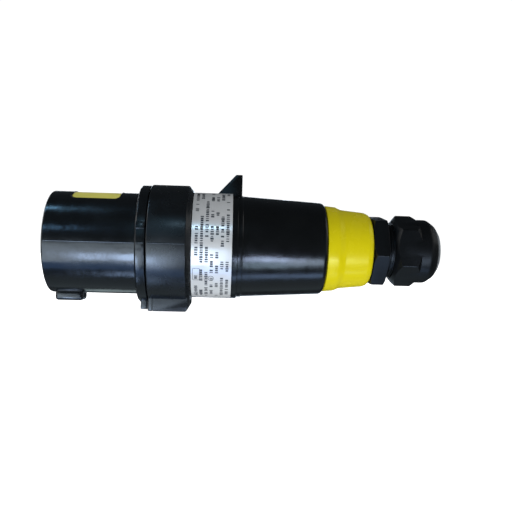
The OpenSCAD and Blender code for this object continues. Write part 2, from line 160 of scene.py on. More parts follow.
# Lamps that only the gloss shows: degrees across, degrees around, radiance and distance.
GLOSS_LAMPS = {
    "table_far": ((-50, -6), (-11, -0.5), (2.2, 2.7, 3.1), NEAR),
    "table_glow": ((-50, -6), (-47, -11), (2.9, 3.5, 4.1), NEAR),
    "front_glow": ((-6, -2.2), (-42, -8), (2.5, 3.2, 4.2), NEAR),
    "window_left": ((-25, -12.5), (-39, -25), (7.8, 10.6, 16.0), NEAR),
    "window_sill": ((-18, -12), (-50, -41), (3.6, 5.0, 8.0), NEAR),
    "window_right": ((10.5, 19), (-35, -25), (12.0, 15.0, 21.5), NEAR),
    "window_far_right": ((19, 30), (-44, -28), (4.0, 5.0, 6.2), NEAR),
    "right_glow": ((10, 20), (-50, -36), (3.2, 4.4, 5.6), NEAR),
    "blue_gap": ((-50, 5), (-64, -46), (0.35, 0.7, 1.5), NEAR),
    "low_strip": ((-20, -13), (-80, -68), (3.2, 4.6, 7.2), NEAR),
    "low_strip_right": ((2, 26), (-78, -67), (1.6, 2.4, 3.9), NEAR),
    "under_fill": ((-48, 48), (-128, -84), (0.16, 0.2, 0.22), NEAR),
    "under_strip": ((-21, -12), (-150, -134), (0.65, 0.82, 0.86), NEAR),
    "ceiling_strip": ((-44, -27), (77, 85), (3.6, 8.0, 12.6), NEAR),
    "upper_strip": ((-42, -28), (27, 35), (1.6, 3.4, 5.8), NEAR),
    "upper_glow": ((-18, -2), (14, 50), (0.14, 0.34, 0.5), NEAR),
    "plate_strip": ((-5.8, -2.2), (35, 40), (5.5, 8.5, 11.0), NEAR),
    "left_fill": ((-75, -55), (-10, 40), (1.6, 1.6, 1.6), FAR),
    "right_fill": ((48, 75), (-20, 40), (0.35, 0.37, 0.4), FAR),
    "end_fill": ((-88, -76), (-40, 60), (1.4, 1.5, 1.6), FAR),
    "left_top_fill": ((-75, -45), (60, 120), (1.6, 1.6, 1.6), FAR),
    "right_top_fill": ((45, 75), (60, 120), (0.7, 0.7, 0.7), FAR),
    "left_back_fill": ((-60, -30), (150, 200), (2.6, 2.8, 3.0), FAR),
    "right_back_fill": ((40, 65), (150, 200), (1.0, 1.1, 1.2), FAR),
    "back_window": ((-24, 22), (166, 175), (2.6, 3.1, 3.6), NEAR),
    "back_glow": ((-8, 18), (192, 205), (0.4, 0.5, 0.6), NEAR),
}
# Lamps that light matt surfaces and leave no mark in the gloss.
SOFT_LAMPS = {
    "soft_front": ((-28, 28), (-66, -14), (2.5, 2.55, 2.65), NEAR),
    "soft_end": ((-85, -60), (-20, 40), (1.2, 1.2, 1.25), NEAR),
    "soft_back": ((-28, 28), (130, 175), (1.4, 1.4, 1.45), NEAR),
}
# The room's colour and strength, as the gloss, the matt surfaces and the camera see it.
ROOM = {"gloss": ((0.7, 0.85, 1.0, 1), 0.05), "matt": ((1, 1, 1, 1), 0.55), "paper": ((1, 1, 1, 1), 1.05)}
FLOOR_GAP, FLOOR_HALF, FLOOR_GLOW = 0.0002, 6.0, 1.02


def camera_beside_the_plug():
    """A level camera on the -Y side, turned a little towards the cable end and rolled a little."""
    yaw, roll = math.radians(CAMERA_YAW), math.radians(CAMERA_ROLL)
    ahead = Vector((math.sin(yaw), math.cos(yaw), 0))
    level = Vector((math.cos(yaw), -math.sin(yaw), 0))
    up = Vector((0, 0, 1))
    right = level * math.cos(roll) + up * math.sin(roll)
    top = up * math.cos(roll) - level * math.sin(roll)
    data = bpy.data.cameras.new("camera")
    data.lens = CAMERA_LENS
    data.sensor_width = CAMERA_SENSOR
    data.clip_start = 0.01
    camera = bpy.data.objects.new("camera", data)
    bpy.context.scene.collection.objects.link(camera)
    turn = Matrix((right, top, -ahead)).transposed().to_4x4()
    camera.matrix_world = Matrix.Translation(Vector(CAMERA_AT) * MM) @ turn
    bpy.context.scene.camera = camera


def panel(name, across, around, radiance, distance, soft):
    """An even rectangular lamp that covers a patch of sky seen from the plug's middle.

    across: degrees towards the cable end; around: degrees up from the horizon on the -Y side.
    """
    over, up = [math.radians(sum(pair) / 2) for pair in (across, around)]
    away = Vector((math.sin(over), -math.cos(up) * math.cos(over), math.sin(up) * math.cos(over)))
    side = (Vector((1, 0, 0)) - away * away.x).normalized()
    width = 2 * distance * math.tan(math.radians(across[1] - across[0]) / 2)
    height = 2 * distance * math.tan(math.radians(around[1] - around[0]) / 2) * math.cos(over)
    peak = max(radiance)
    data = bpy.data.lights.new(name, "AREA")
    data.shape = "RECTANGLE"
    data.size, data.size_y = width, height
    data.energy = math.pi * width * height * peak
    data.color = [channel / peak for channel in radiance]
    lamp = bpy.data.objects.new(name, data)
    bpy.context.scene.collection.objects.link(lamp)
    lamp.matrix_world = Matrix.Translation(PLUG_MIDDLE + away * distance) @ Matrix(
        (side, away.cross(side), away)).transposed().to_4x4()
    lamp.visible_camera = False
    lamp.visible_glossy = not soft
    lamp.visible_diffuse = soft


def studio():
    """Cool light from low in front, a few narrow lamps above, fill from both ends and behind."""
    for lamps, soft in ((GLOSS_LAMPS, False), (SOFT_LAMPS, True)):
        for name, (across, around, radiance, distance) in lamps.items():
            panel(name, across, around, radiance, distance, soft)


def white_room():
    """A room that is white to the camera, dim in the gloss and half bright on matt surfaces."""
    world = bpy.data.worlds.new("studio")
    bpy.context.scene.world = world
    world.use_nodes = True
    tree = world.node_tree
    tree.nodes.clear()
    path = node(tree, "ShaderNodeLightPath").outputs
    room = {
        part: node(tree, "ShaderNodeBackground", {"Color": colour, "Strength": strength}).outputs[0]
        for part, (colour, strength) in ROOM.items()
    }
    lit = node(tree, "ShaderNodeMixShader", {
        "Fac": path["Is Diffuse Ray"], 1: room["gloss"], 2: room["matt"]})
    seen = node(tree, "ShaderNodeMixShader", {
        "Fac": path["Is Camera Ray"], 1: lit.outputs[0], 2: room["paper"]})
    node(tree, "ShaderNodeOutputWorld", {"Surface": seen.outputs[0]})


def white_floor():
    """A pale floor that the plug's foot stands on."""
    mesh = bpy.data.meshes.new("floor")
    z = cad_box[0][2] - FLOOR_GAP
    mesh.from_pydata([(x * FLOOR_HALF, y * FLOOR_HALF, z) for x, y in ((-1, -1), (1, -1), (1, 1), (-1, 1))],
                     [], [(0, 1, 2, 3)])
    floor = bpy.data.objects.new("floor", mesh)
    bpy.context.scene.collection.objects.link(floor)
    material = bpy.data.materials.new("pale_floor")
    material.use_nodes = True
    wired(material.node_tree, material.node_tree.nodes["Principled BSDF"], {
        "Base Color": (0.9, 0.9, 0.9, 1), "Roughness": 0.9, "Specular IOR Level": 0.1,
        "Emission Color": (1, 1, 1, 1), "Emission Strength": FLOOR_GLOW})
    mesh.materials.append(material)
    floor.visible_glossy = False
    floor.visible_diffuse = False
    floor.visible_shadow = False


# ---------------------------------------------------------------- materials

WAVE_SCALE, WAVE_DISTANCE = 85.0, 0.0004
GRAIN_SCALE, GRAIN_DISTANCE = 2600.0, 0.0001
NOISE_LOW, NOISE_HIGH = 0.3, 0.7        # where most of a noise lies
SMOOTHEST = 0.02


def moulded(name, colour, rough=0.3, mottle=0.25, grain=GRAIN_SCALE, grain_depth=0.02, wave_depth=0.05,
            specular=0.5, metallic=0.0, rough_spread=0.06, tint=(1, 1, 1)):
    """Moulded plastic, rubber or plated metal: slow waves, fine grain, uneven colour and gloss."""
    material = bpy.data.materials.new(name)
    material.use_nodes = True
    tree = material.node_tree
    where = node(tree, "ShaderNodeTexCoord").outputs["Object"]
    slow = node(tree, "ShaderNodeTexNoise", {
        "Vector": where, "Scale": WAVE_SCALE, "Detail": 4.0}).outputs["Fac"]
    fine = node(tree, "ShaderNodeTexNoise", {"Vector": where, "Scale": grain, "Detail": 2.0}).outputs["Fac"]
    tone = node(tree, "ShaderNodeMix", {
        "A": (*[c * (1 - mottle) for c in colour], 1), "B": (*[min(1, c * (1 + mottle)) for c in colour], 1),
        "Factor": slow}, data_type="RGBA")
    gloss = node(tree, "ShaderNodeMapRange", {
        "Value": slow, "From Min": NOISE_LOW, "From Max": NOISE_HIGH,
        "To Min": max(SMOOTHEST, rough - rough_spread), "To Max": rough + rough_spread})
    wave = node(tree, "ShaderNodeBump", {"Strength": wave_depth, "Distance": WAVE_DISTANCE, "Height": slow})
    grit = node(tree, "ShaderNodeBump", {
        "Strength": grain_depth, "Distance": GRAIN_DISTANCE, "Height": fine,
        "Normal": wave.outputs["Normal"]})
    wired(tree, tree.nodes["Principled BSDF"], {
        "Base Color": tone.outputs["Result"], "Roughness": gloss.outputs["Result"], "Metallic": metallic,
        "Specular IOR Level": specular, "Specular Tint": (*tint, 1), "Normal": grit.outputs["Normal"]})
    return material


BLACK_GLOSS = moulded("black_gloss_moulding", (0.0035, 0.0048, 0.006), rough=0.19, grain_depth=0.04,
                      wave_depth=0.6, rough_spread=0.05)
BLACK_SATIN = moulded("black_satin_moulding", (0.0045, 0.0058, 0.007), rough=0.26, grain_depth=0.08,
                      wave_depth=0.2)
BLACK_TAPER = moulded("black_taper_moulding", (0.003, 0.0036, 0.004), rough=0.21, grain_depth=0.04,
                      wave_depth=0.6, rough_spread=0.05)
BLACK_GLAND = moulded("black_gland_moulding", (0.0025, 0.003, 0.0035), rough=0.36, grain_depth=0.12,
                      specular=0.3)
SLEEVE_YELLOW = moulded("yellow_sleeve_moulding", (0.62, 0.54, 0.002), rough=0.25, mottle=0.05,
                        grain_depth=0.03, wave_depth=0.2, specular=0.4, tint=(1, 0.95, 0.35))
MARKER_YELLOW = moulded("yellow_marker_moulding", (0.78, 0.74, 0.13), rough=0.4, mottle=0.12,
                        grain_depth=0.06)
PLATE_SILVER = moulded("silver_foil", (0.78, 0.81, 0.83), rough=0.2, mottle=0.06, metallic=0.4,
                       grain=1400.0, grain_depth=0.02, wave_depth=0.06)
PRINT_GREY = moulded("plate_print", (0.03, 0.035, 0.045), rough=0.5, mottle=0.3)
INSULATOR_GREY = moulded("grey_insulator", (0.045, 0.048, 0.05), rough=0.45, mottle=0.3, grain_depth=0.1)
PIN_NICKEL = moulded("nickel_plating", (0.62, 0.6, 0.55), rough=0.2, mottle=0.08, metallic=1.0,
                     grain_depth=0.03)
SCREW_ZINC = moulded("zinc_plating", (0.55, 0.56, 0.58), rough=0.32, mottle=0.15, metallic=1.0,
                     grain_depth=0.08)
SEAL_RUBBER = moulded("black_rubber", (0.012, 0.012, 0.013), rough=0.7, mottle=0.3, grain_depth=0.2,
                      specular=0.3)
NYLON_WHITE = moulded("natural_nylon", (0.6, 0.59, 0.53), rough=0.45, mottle=0.08, grain_depth=0.05)


# ---------------------------------------------------------------- shop tools

# How a drawn outline (u, v) and a level lie in space.
SPREAD = {
    "xz": lambda u, v, level: (u, level, v),
    "yz": lambda u, v, level: (level, u, v),
    "xy": lambda u, v, level: (u, v, level),
}
WELD, SLIVER = 2e-7, 1e-7               # metres


def new_piece(name, mesh, material):
    piece = bpy.data.objects.new(name, mesh)
    bpy.context.scene.collection.objects.link(piece)
    mesh.materials.clear()
    mesh.materials.append(material)
    return piece


def closed_piece(name, bm, material):
    """A piece from a closed bmesh, its faces turned outwards."""
    bmesh.ops.recalc_face_normals(bm, faces=bm.faces)
    mesh = bpy.data.meshes.new(name)
    bm.to_mesh(mesh)
    bm.free()
    return new_piece(name, mesh, material)


def softened(outline):
    """The outline with a small arc at each corner that states a radius: (x, r) or (x, r, radius)."""
    count = len(outline)
    soft = []
    for i, point in enumerate(outline):
        here = Vector(point[:2])
        radius = point[2] if len(point) > 2 else 0
        if radius <= 0:
            soft.append(tuple(here))
            continue
        before = (Vector(outline[i - 1][:2]) - here)
        after = (Vector(outline[(i + 1) % count][:2]) - here)
        corner = before.angle(after)
        reach = radius / math.tan(corner / 2)
        limit = 0.48 * min(before.length, after.length)
        if reach > limit:
            radius, reach = radius * limit / reach, limit
        start = here + before.normalized() * reach
        end = here + after.normalized() * reach
        inwards = (before.normalized() + after.normalized()).normalized()
        middle = here + inwards * (radius / math.sin(corner / 2))
        first, last = start - middle, end - middle
        swing = first.angle_signed(last)
        for k in range(ARC_STEPS + 1):
            a = -swing * k / ARC_STEPS
            c, s = math.cos(a), math.sin(a)
            soft.append((middle.x + first.x * c - first.y * s, middle.y + first.x * s + first.y * c))
    return soft


def turned(name, outline, material, sides=TURNED_SIDES):
    """A closed outline in (x, r), spun about the plug's axis. Points on the axis are shared."""
    bm = bmesh.new()
    rings = []
    for x, r in softened(outline):
        if r < 1e-6:
            rings.append([bm.verts.new((x * MM, 0, 0))] * sides)
        else:
            rings.append([
                bm.verts.new((x * MM, -r * MM * math.sin(a), r * MM * math.cos(a)))
                for a in (2 * math.pi * k / sides for k in range(sides))
            ])
    for i, ring in enumerate(rings):
        following = rings[(i + 1) % len(rings)]
        for k in range(sides):
            j = (k + 1) % sides
            corners = []
            for v in (ring[k], ring[j], following[j], following[k]):
                if v not in corners:
                    corners.append(v)
            if len(corners) > 2:
                bm.faces.new(corners)
    return closed_piece(name, bm, material)


def at_clock(piece, degrees):
    """Turns what stands at twelve o'clock to another clock angle, in its mesh."""
    piece.data.transform(Matrix.Rotation(math.radians(degrees), 4, "X"))
    return piece


def prism(name, corners, low, high, plane, material, bevel=0.0):
    """A closed outline drawn in a plane, given thickness along the third axis, edges rounded."""
    bm = bmesh.new()
    ends = [
        [bm.verts.new(Vector(SPREAD[plane](u, v, level)) * MM) for u, v in corners]
        for level in (low, high)
    ]
    bm.faces.new(ends[0])
    bm.faces.new(reversed(ends[1]))
    n = len(corners)
    for i in range(n):
        bm.faces.new([ends[0][i], ends[1][i], ends[1][(i + 1) % n], ends[0][(i + 1) % n]])
    bmesh.ops.recalc_face_normals(bm, faces=bm.faces)
    if bevel > 0:
        bmesh.ops.bevel(bm, geom=bm.edges[:], offset=bevel * MM, segments=3, affect="EDGES", profile=0.5)
    return closed_piece(name, bm, material)


def upright(half_width, low, high):
    """A rectangle that stands over the axis between two heights."""
    return [(-half_width, low), (half_width, low), (half_width, high), (-half_width, high)]


def round_rectangle(middle, half, corner, steps):
    """A rectangle with round corners; middle, half and corner are pairs, along and across."""
    outline = []
    for side_u, side_v, start in CORNERS:
        for k in range(steps + 1):
            a = math.radians(start + 90 * k / steps)
            outline.append((middle[0] + side_u * (half[0] - corner[0]) + corner[0] * math.cos(a),
                            middle[1] + side_v * (half[1] - corner[1]) + corner[1] * math.sin(a)))
    return outline


def filled_in(outline, parts, longer_than=0.0):
    """A closed outline whose long sides get points in between."""
    filled = []
    for (ua, va), (ub, vb) in zip(outline, outline[1:] + outline[:1]):
        count = parts if math.hypot(ub - ua, vb - va) > longer_than else 1
        filled += [(ua + (ub - ua) * k / count, va + (vb - va) * k / count) for k in range(count)]
    return filled


def settled(piece):
    """Applies a piece's modifiers to its mesh."""
    graph = bpy.context.evaluated_depsgraph_get()
    mesh = bpy.data.meshes.new_from_object(
        piece.evaluated_get(graph), preserve_all_data_layers=True, depsgraph=graph)
    piece.modifiers.clear()
    old = piece.data
    piece.data = mesh
    bpy.data.meshes.remove(old)
    return piece


def worked(piece, tool, how):
    """UNION, DIFFERENCE or INTERSECT with another piece, which is used up."""
    step = piece.modifiers.new(how, "BOOLEAN")
    step.operation = how
    step.solver = "EXACT"
    step.object = tool
    settled(piece)
    bpy.data.objects.remove(tool)
    return piece


def smoothed(piece, sharp=32.0):
    """Smooth faces that stay crisp where they meet at more than the given angle."""
    mesh = piece.data
    bm = bmesh.new()
    bm.from_mesh(mesh)
    bmesh.ops.remove_doubles(bm, verts=bm.verts, dist=WELD)
    bmesh.ops.dissolve_degenerate(bm, dist=SLIVER, edges=bm.edges)
    bm.to_mesh(mesh)
    bm.free()
    mesh.polygons.foreach_set("use_smooth", [True] * len(mesh.polygons))
    mesh.set_sharp_from_angle(angle=math.radians(sharp))
    return piece


def bead(name, path, radius, material, closed=False, sides=10, flat=1.0):
    """A thin round bead along a path of points in metres; flat squeezes it towards the axis."""
    bm = bmesh.new()
    rings = []
    count = len(path)
    for i, p in enumerate(path):
        p = Vector(p)
        ahead = Vector(path[(i + 1) % count]) if closed or i < count - 1 else p
        behind = Vector(path[i - 1]) if closed or i > 0 else p
        along = (ahead - behind).normalized()
        out = Vector((0, p.y, p.z)).normalized()
        out = (out - along * out.dot(along))
        out = Vector((1, 0, 0)) if out.length < 1e-5 else out.normalized()
        side = along.cross(out)
        rings.append([
            bm.verts.new(p + (out * math.cos(a) * flat + side * math.sin(a)) * radius * MM)
            for a in (2 * math.pi * k / sides for k in range(sides))
        ])
    for i in range(count if closed else count - 1):
        following = rings[(i + 1) % count]
        for k in range(sides):
            j = (k + 1) % sides
            bm.faces.new([rings[i][k], rings[i][j], following[j], following[k]])
    if not closed:
        bm.faces.new(rings[0])
        bm.faces.new(reversed(rings[-1]))
    return closed_piece(name, bm, material)


def joined(name, pieces):
    """Several closed pieces as one."""
    bm = bmesh.new()
    for piece in pieces:
        bm.from_mesh(piece.data)
    material = pieces[0].data.materials[0]
    for piece in pieces:
        bpy.data.objects.remove(piece)
    return closed_piece(name, bm, material)


def done(piece, body, slot, *cad_nodes):
    """Hands a finished piece to its body, in place of the CAD nodes it stands for."""
    if cad_nodes:
        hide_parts(*cad_nodes)
    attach(piece, body)


def on_axis(x, clock, r):
    """A point, in metres, from its station, clock angle in degrees and radius in millimetres."""
    a = math.radians(clock)
    return (x * MM, -r * MM * math.sin(a), r * MM * math.cos(a))


def seam(x_from, length, clock, r, parts, material, flat):
    """The flat bead that a mould's parting line leaves along a round piece."""
    path = [on_axis(x_from + length * k / parts, clock, r) for k in range(parts + 1)]
    return bead("seam", path, SEAM_R, material, flat=flat)


# ---------------------------------------------------------------- geometry node trees

def node_tree(name, inputs):
    """An empty geometry tree with named inputs; returns the tree, its input sockets and its output node."""
    tree = bpy.data.node_groups.new(name, "GeometryNodeTree")
    for label, kind, value in inputs:
        socket = tree.interface.new_socket(name=label, in_out="INPUT", socket_type=kind)
        if value is not None:
            socket.default_value = value
    tree.interface.new_socket(name="Geometry", in_out="OUTPUT", socket_type="NodeSocketGeometry")
    return tree, node(tree, "NodeGroupInput").outputs, node(tree, "NodeGroupOutput")


def painted(tree, geometry, material, out):
    """Ends a tree: everything real, in the given material."""
    real = node(tree, "GeometryNodeRealizeInstances", {0: geometry})
    paint = node(tree, "GeometryNodeSetMaterial", {"Geometry": real.outputs[0], "Material": material})
    wired(tree, out, {0: paint.outputs[0]})


def grown(name, tree, values, material):
    """The plain mesh that a tree makes with these input values."""
    piece = new_piece(name, bpy.data.meshes.new(name), material)
    step = piece.modifiers.new(name, "NODES")
    step.node_group = tree
    values = {**values, "Material": material}
    for item in tree.interface.items_tree:
        if item.in_out == "INPUT" and item.name in values:
            step[item.identifier] = values[item.name]
    return settled(piece)


def helix_tree():
    """A thread ridge: a helix along +X swept with a rounded profile."""
    tree, given, out = node_tree("thread_helix", [
        ("Radius", "NodeSocketFloat", 0.01), ("Pitch", "NodeSocketFloat", 0.001),
        ("Turns", "NodeSocketFloat", 3.0), ("Start", "NodeSocketFloat", 0.0),
        ("Ridge", "NodeSocketFloat", 0.0005), ("Material", "NodeSocketMaterial", None),
    ])
    length = node(tree, "ShaderNodeMath", {0: given["Pitch"], 1: given["Turns"]}, operation="MULTIPLY")
    spiral = node(tree, "GeometryNodeCurveSpiral", {
        "Resolution": 72, "Rotations": given["Turns"], "Start Radius": given["Radius"],
        "End Radius": given["Radius"], "Height": length.outputs[0]})
    ridge = node(tree, "GeometryNodeCurvePrimitiveCircle", {"Resolution": 8, "Radius": given["Ridge"]})
    sweep = node(tree, "GeometryNodeCurveToMesh", {
        "Curve": spiral.outputs["Curve"], "Profile Curve": ridge.outputs["Curve"], "Fill Caps": True})
    start = node(tree, "ShaderNodeCombineXYZ", {"X": given["Start"]})
    lay = node(tree, "GeometryNodeTransform", {
        "Geometry": sweep.outputs["Mesh"], "Translation": start.outputs[0], "Rotation": (0, QUARTER_TURN, 0)})
    painted(tree, lay.outputs[0], given["Material"], out)
    return tree


def print_tree():
    """Rows of short bars wrapped round the plate: the generic stand-in for its print."""
    tree, given, out = node_tree("plate_print_rows", [
        ("Columns", "NodeSocketInt", 7), ("Rows", "NodeSocketInt", 20), ("Width", "NodeSocketFloat", 0.016),
        ("Arc Length", "NodeSocketFloat", 0.06), ("Radius", "NodeSocketFloat", 0.0278),
        ("Start", "NodeSocketFloat", 0.03), ("Start Arc", "NodeSocketFloat", 0.01),
        ("Bar", "NodeSocketVector", (0.001, 0.0016, 0.00004)), ("Keep", "NodeSocketFloat", 0.75),
        ("Word Length", "NodeSocketFloat", 0.006), ("Gaps", "NodeSocketFloat", 0.45),
        ("Seed", "NodeSocketInt", 3), ("Material", "NodeSocketMaterial", None),
    ])

    def maths(operation, *values):
        return node(tree, "ShaderNodeMath", dict(enumerate(values)), operation=operation).outputs[0]

    def position():
        spot = node(tree, "GeometryNodeInputPosition")
        return node(tree, "ShaderNodeSeparateXYZ", {0: spot.outputs[0]}).outputs

    grid = node(tree, "GeometryNodeMeshGrid", {
        "Size X": given["Width"], "Size Y": given["Arc Length"],
        "Vertices X": given["Columns"], "Vertices Y": given["Rows"]})
    kept = node(tree, "FunctionNodeRandomValue", {
        "Probability": given["Keep"], "Seed": given["Seed"]}, data_type="BOOLEAN")
    stretch = node(tree, "FunctionNodeRandomValue", {
        "Min": (0.75, 0.5, 1), "Max": (1.0, 1.2, 1), "Seed": given["Seed"]}, data_type="FLOAT_VECTOR")
    point = position()
    word = node(tree, "ShaderNodeCombineXYZ", {
        "X": maths("MULTIPLY", point["X"], 1700.0), "Y": maths("DIVIDE", point["Y"], given["Word Length"])})
    patches = node(tree, "ShaderNodeTexNoise", {"Vector": word.outputs[0], "Scale": 1.0, "Detail": 1.0})
    inked = node(tree, "FunctionNodeCompare", {0: patches.outputs[0], 1: given["Gaps"]},
                 data_type="FLOAT", operation="GREATER_THAN")
    both = node(tree, "FunctionNodeBooleanMath", {0: kept.outputs[3], 1: inked.outputs[0]}, operation="AND")
    bar = node(tree, "GeometryNodeMeshCube", {"Size": given["Bar"]})
    place = node(tree, "GeometryNodeInstanceOnPoints", {
        "Points": grid.outputs["Mesh"], "Selection": both.outputs[0], "Instance": bar.outputs["Mesh"],
        "Scale": stretch.outputs[0]})
    flat = node(tree, "GeometryNodeRealizeInstances", {0: place.outputs[0]})

    corner = position()
    arc = maths("ADD", corner["Y"], given["Start Arc"])
    arc = maths("ADD", arc, maths("MULTIPLY", given["Arc Length"], 0.5))
    angle = maths("DIVIDE", arc, given["Radius"])
    radius = maths("ADD", given["Radius"], corner["Z"])
    half = maths("MULTIPLY", given["Width"], 0.5)
    wrap = node(tree, "ShaderNodeCombineXYZ", {
        "X": maths("ADD", maths("ADD", corner["X"], half), given["Start"]),
        "Y": maths("MULTIPLY", maths("MULTIPLY", maths("SINE", angle), radius), -1.0),
        "Z": maths("MULTIPLY", maths("COSINE", angle), radius)})
    move = node(tree, "GeometryNodeSetPosition", {"Geometry": flat.outputs[0], "Position": wrap.outputs[0]})
    outwards = node(tree, "GeometryNodeFlipFaces", {"Mesh": move.outputs[0]})
    painted(tree, outwards.outputs[0], given["Material"], out)
    return tree


# ---------------------------------------------------------------- shroud

def window_outline(grow):
    """The window's outline seen from above, its corners round, grown on all sides."""
    return round_rectangle((-WINDOW_GAP - WINDOW_LEN / 2, 0), (WINDOW_LEN / 2 + grow, WINDOW_W / 2 + grow),
                           (WINDOW_CORNER + grow, WINDOW_CORNER + grow), 8)


def window_path(grow, r):
    """Points along the window's edge, laid on the shroud's surface."""
    flat = filled_in(window_outline(grow), 14, longer_than=5.0)
    return [(x * MM, y * MM, math.sqrt(r * r - y * y) * MM) for x, y in flat]


def make_shroud():
    body = turned("shroud_body", [
        (RIM_X, SHROUD_BORE_R, 0.5), (RIM_X, SHROUD_R, 1.1),
        (0, SHROUD_R, 0.5), (0, FLANGE_R - 0.7, 0.3), (0.7, FLANGE_R, 0.4), (FLANGE_END, FLANGE_R, 0.35),
        (FLANGE_END, THREAD_ROOT_R, 0.3), (SPIGOT_END, THREAD_ROOT_R, 0.3), (SPIGOT_END, CHAMBER_R, 0.2),
        (LIP_REAR, CHAMBER_R), (LIP_REAR, LIP_R), (LIP_FRONT, LIP_R, 0.2), (LIP_FRONT, SHROUD_BORE_R, 0.8),
    ], BLACK_GLOSS)
    rib = prism("key_rib", upright(KEY_W / 2, SHROUD_BORE_R + 1, KEY_R),
                KEY_X, KEY_X + KEY_LEN, "yz", BLACK_GLOSS, bevel=1.6)
    worked(body, at_clock(rib, 180), "UNION")
    pad = prism("flange_pad", upright(PAD_HALF_W, THREAD_ROOT_R + 0.8, FOOT_R - 0.4),
                1, FLANGE_END - PAD_SETBACK, "yz", BLACK_GLOSS, bevel=0.5)
    worked(body, at_clock(pad, 180), "UNION")
    block = prism("index_block", upright(INDEX_HALF_W, THREAD_ROOT_R + 0.8, FLANGE_R + 0.6),
                  0.3, FLANGE_END - 0.3, "yz", BLACK_GLOSS, bevel=0.4)
    worked(body, at_clock(block, INDEX_CLOCK), "UNION")
    window = prism("window", window_outline(0), 0, 40, "xy", BLACK_GLOSS)
    above_floor = turned("window_depth", [
        (RIM_X - 3, MARKER_FLOOR_R), (RIM_X - 3, SHROUD_R + 4), (-1, SHROUD_R + 4), (-1, MARKER_FLOOR_R)],
        BLACK_GLOSS)
    worked(window, above_floor, "INTERSECT")
    worked(body, window, "DIFFERENCE")
    done(smoothed(body), "plug_front", "black_gloss", "shroud")

    rim = bead("window_rim", window_path(0.25, SHROUD_R - 0.12), 0.36, BLACK_GLOSS, closed=True, flat=0.8)
    done(smoothed(rim, 60), "plug_front", "black_gloss")

    seams = []
    for clock in SEAM_CLOCKS:
        seams.append(seam(RIM_X + 1.2, -RIM_X - 1.4, clock, SHROUD_R - 0.06, 24, BLACK_GLOSS, flat=0.55))
        seams.append(seam(0.9, FLANGE_END - 1.4, clock, FLANGE_R - 0.06, 5, BLACK_GLOSS, flat=0.55))
    done(smoothed(joined("shroud_parting_seams", seams), 60), "plug_front", "black_gloss")

    ridge = grown("union_thread", helix, {
        "Radius": (THREAD_CREST_R - 0.55) * MM, "Pitch": UNION_PITCH * MM, "Turns": 2.7,
        "Start": 6.3 * MM, "Ridge": 0.5 * MM}, BLACK_GLOSS)
    done(smoothed(ridge, 50), "plug_front", "black_gloss")


# ---------------------------------------------------------------- union collar

def make_collar():
    collar = turned("union_collar", [
        (COLLAR_X, COLLAR_BORE_R, 0.3), (COLLAR_X, COLLAR_R, 0.7), (COLLAR_END - 2.3, COLLAR_R, 0.5),
        (COLLAR_END, SEAT_R + 0.6, 0.2), (COLLAR_END, COLLAR_LIP_R, 0.1), (COLLAR_LIP_X, COLLAR_LIP_R),
        (COLLAR_LIP_X, COLLAR_RELIEF_R, 0.2), (COLLAR_RELIEF_X, COLLAR_RELIEF_R, 0.2),
        (COLLAR_RELIEF_X, COLLAR_BORE_R),
    ], BLACK_SATIN)
    foot = prism("collar_foot", [
        (COLLAR_X, 15), (COLLAR_END - 0.5, 15), (COLLAR_END - 0.5, FOOT_R - 2.8),
        (COLLAR_END - 2.1, FOOT_R), (COLLAR_X, FOOT_R)],
        -FOOT_W / 2, FOOT_W / 2, "xz", BLACK_SATIN, bevel=0.7)
    core = turned("collar_core", [
        (COLLAR_X - 5, 0), (COLLAR_X - 5, COLLAR_BORE_R + FOOT_OVERLAP),
        (COLLAR_RELIEF_X - FOOT_OVERLAP, COLLAR_BORE_R + FOOT_OVERLAP),
        (COLLAR_RELIEF_X - FOOT_OVERLAP, COLLAR_RELIEF_R + FOOT_OVERLAP),
        (COLLAR_LIP_X + FOOT_OVERLAP, COLLAR_RELIEF_R + FOOT_OVERLAP),
        (COLLAR_LIP_X + FOOT_OVERLAP, COLLAR_LIP_R + FOOT_OVERLAP),
        (COLLAR_END + 5, COLLAR_LIP_R + FOOT_OVERLAP), (COLLAR_END + 5, 0),
    ], BLACK_SATIN)
    worked(foot, core, "DIFFERENCE")
    line = prism("foot_line", upright(FOOT_W / 2 + 1, 24, FOOT_R + 1),
                 FOOT_LINE_X, FOOT_LINE_X + FOOT_LINE_W, "yz", BLACK_SATIN)
    inside = prism("foot_line_inside", upright(FOOT_W / 2 - FOOT_LINE_DEPTH, 20, FOOT_R - FOOT_LINE_DEPTH),
                   FOOT_LINE_X - 0.5, FOOT_LINE_X + FOOT_LINE_W + 0.5, "yz", BLACK_SATIN)
    worked(line, inside, "DIFFERENCE")
    worked(foot, line, "DIFFERENCE")
    worked(collar, at_clock(foot, 180), "UNION")
    drill = turned("lock_hole", [(-36, 0), (-36, LOCK_HOLE_R), (-25, LOCK_HOLE_R), (-25, 0)], BLACK_SATIN,
                   sides=DRILL_SIDES)
    drill.data.transform(Matrix.Translation((LOCK_X * MM, 0, 0)) @ Matrix.Rotation(-QUARTER_TURN, 4, "Y"))
    worked(collar, drill, "DIFFERENCE")
    done(smoothed(collar), "union", "black_satin", "coupling_collar")

    seams = [
        seam(COLLAR_X + 0.8, COLLAR_END - COLLAR_X - 3.4, clock, COLLAR_R - 0.1, 12, BLACK_SATIN, flat=0.6)
        for clock in SEAM_CLOCKS
    ]
    done(smoothed(joined("collar_parting_seams", seams), 60), "union", "black_satin")


# ---------------------------------------------------------------- rear housing, plate and sleeve

